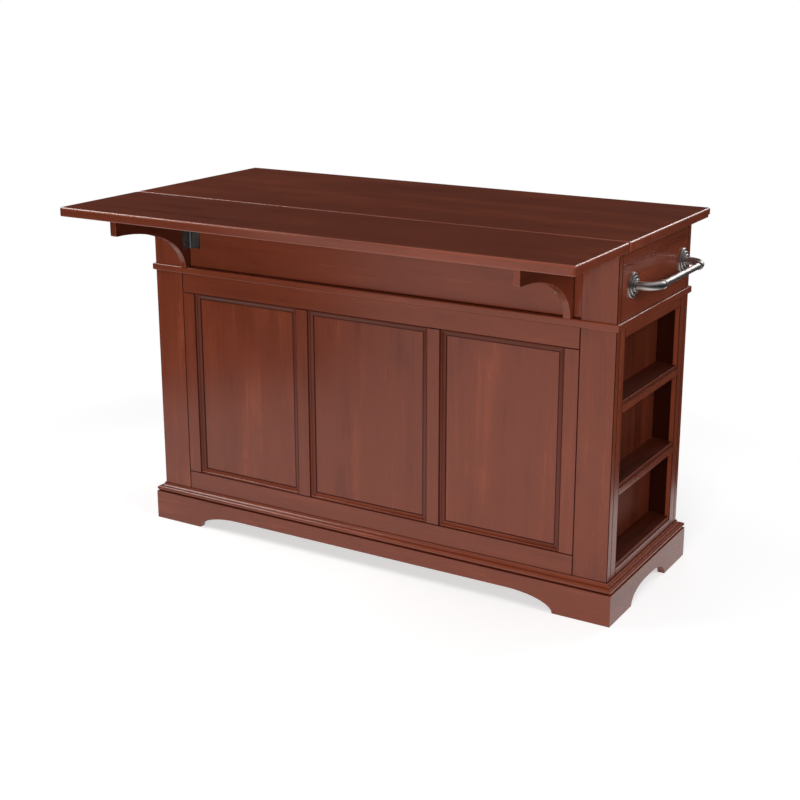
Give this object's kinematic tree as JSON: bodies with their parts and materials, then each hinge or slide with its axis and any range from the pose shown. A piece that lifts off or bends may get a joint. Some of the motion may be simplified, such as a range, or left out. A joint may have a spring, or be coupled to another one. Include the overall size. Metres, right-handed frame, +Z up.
{
  "type": "bar counter",
  "caption": "Freestanding wooden bar counter with a hinged drop leaf on swing-out brackets, a panelled front, an open end rack, a towel bar, and drawers and cupboards behind.",
  "frame": {"origin": "on the floor, under the middle of the counter's outline (leaf raised, towel bar included)", "axes": "+X to the rack end, along the counter's length; +Y to the working side with drawers and doors; +Z up"},
  "size_m": [1.4156, 0.808, 0.914],
  "materials": {
    "body_wood": "semi-gloss red-brown stain",
    "top_wood": "semi-gloss red-brown stain",
    "rack_wood": "satin dark stain",
    "inside_wood": "plain satin lacquer",
    "towel_metal": "satin nickel",
    "knob_metal": "satin nickel",
    "hinge_metal": "brushed"
  },
  "bodies": {
    "carcass": {"back_rails": "body_wood", "back_stiles": "body_wood", "base_moulding": "body_wood", "centre_partition": "inside_wood", "cupboard_shelves": "inside_wood", "drawer_runners": "inside_wood", "dust_board": "inside_wood", "floor_board": "inside_wood", "frieze_front": "body_wood", "frieze_left": "body_wood", "frieze_right": "body_wood", "front_panel_centre": "body_wood", "front_panel_left": "body_wood", "front_panel_right": "body_wood", "front_rails": "body_wood", "front_stiles": "body_wood", "hinge_pins": "hinge_metal", "hinge_plates": "hinge_metal", "left_end_frame": "body_wood", "left_end_panel": "body_wood", "main_top": "top_wood", "panel_beads": "body_wood", "plinth_back": "body_wood", "plinth_ends": "body_wood", "plinth_front": "body_wood", "post_back_left": "body_wood", "post_back_right": "body_wood", "post_front_left": "body_wood", "post_front_right": "body_wood", "rack_back": "rack_wood", "rack_linings": "rack_wood", "rack_rails": "body_wood", "rack_shelves": "rack_wood", "rack_stiles": "body_wood", "shelf_battens": "inside_wood", "towel_bar": "towel_metal", "towel_elbows": "towel_metal", "towel_rosettes": "towel_metal", "waist_moulding": "body_wood"},
    "leaf": {"drop_leaf": "top_wood", "leaf_hinge_flaps": "hinge_metal"},
    "bracket_left": {"bracket_left": "body_wood", "bracket_left_flap": "hinge_metal"},
    "bracket_right": {"bracket_right": "body_wood", "bracket_right_flap": "hinge_metal"},
    "drawer_left": {"drawer_left_front": "body_wood", "drawer_left_box": "inside_wood", "drawer_left_knobs": "knob_metal"},
    "drawer_right": {"drawer_right_front": "body_wood", "drawer_right_box": "inside_wood", "drawer_right_knobs": "knob_metal"},
    "door_left_outer": {"door_left_outer": "body_wood", "door_left_outer_fittings": "knob_metal"},
    "door_left_inner": {"door_left_inner": "body_wood", "door_left_inner_fittings": "knob_metal"},
    "door_right_inner": {"door_right_inner": "body_wood", "door_right_inner_fittings": "knob_metal"},
    "door_right_outer": {"door_right_outer": "body_wood", "door_right_outer_fittings": "knob_metal"}
  },
  "joints": [
    {"name": "leaf_lift", "type": "hinge", "parent": "carcass", "child": "leaf", "pos_m": [-0.01775, -0.116, 0.8873], "axis": [-1, 0, 0], "range_deg": [0, 10]},
    {"name": "bracket_left_fold", "type": "hinge", "parent": "carcass", "child": "bracket_left", "pos_m": [-0.56405, -0.0802, 0.819], "axis": [0, 0, 1], "range_deg": [0, 90]},
    {"name": "bracket_right_fold", "type": "hinge", "parent": "carcass", "child": "bracket_right", "pos_m": [0.50855, -0.0802, 0.819], "axis": [0, 0, -1], "range_deg": [0, 90]},
    {"name": "drawer_left_slide", "type": "slide", "parent": "carcass", "child": "drawer_left", "axis": [0, 1, 0], "range_m": [0, 0.3]},
    {"name": "drawer_right_slide", "type": "slide", "parent": "carcass", "child": "drawer_right", "axis": [0, 1, 0], "range_m": [0, 0.3]},
    {"name": "door_left_outer_swing", "type": "hinge", "parent": "carcass", "child": "door_left_outer", "pos_m": [-0.58675, 0.3677, 0.41525], "axis": [0, 0, 1], "range_deg": [0, 110]},
    {"name": "door_left_inner_swing", "type": "hinge", "parent": "carcass", "child": "door_left_inner", "pos_m": [-0.04875, 0.3677, 0.41525], "axis": [0, 0, -1], "range_deg": [0, 90]},
    {"name": "door_right_inner_swing", "type": "hinge", "parent": "carcass", "child": "door_right_inner", "pos_m": [0.01325, 0.3677, 0.41525], "axis": [0, 0, 1], "range_deg": [0, 90]},
    {"name": "door_right_outer_swing", "type": "hinge", "parent": "carcass", "child": "door_right_outer", "pos_m": [0.55125, 0.3677, 0.41525], "axis": [0, 0, -1], "range_deg": [0, 110]}
  ]
}
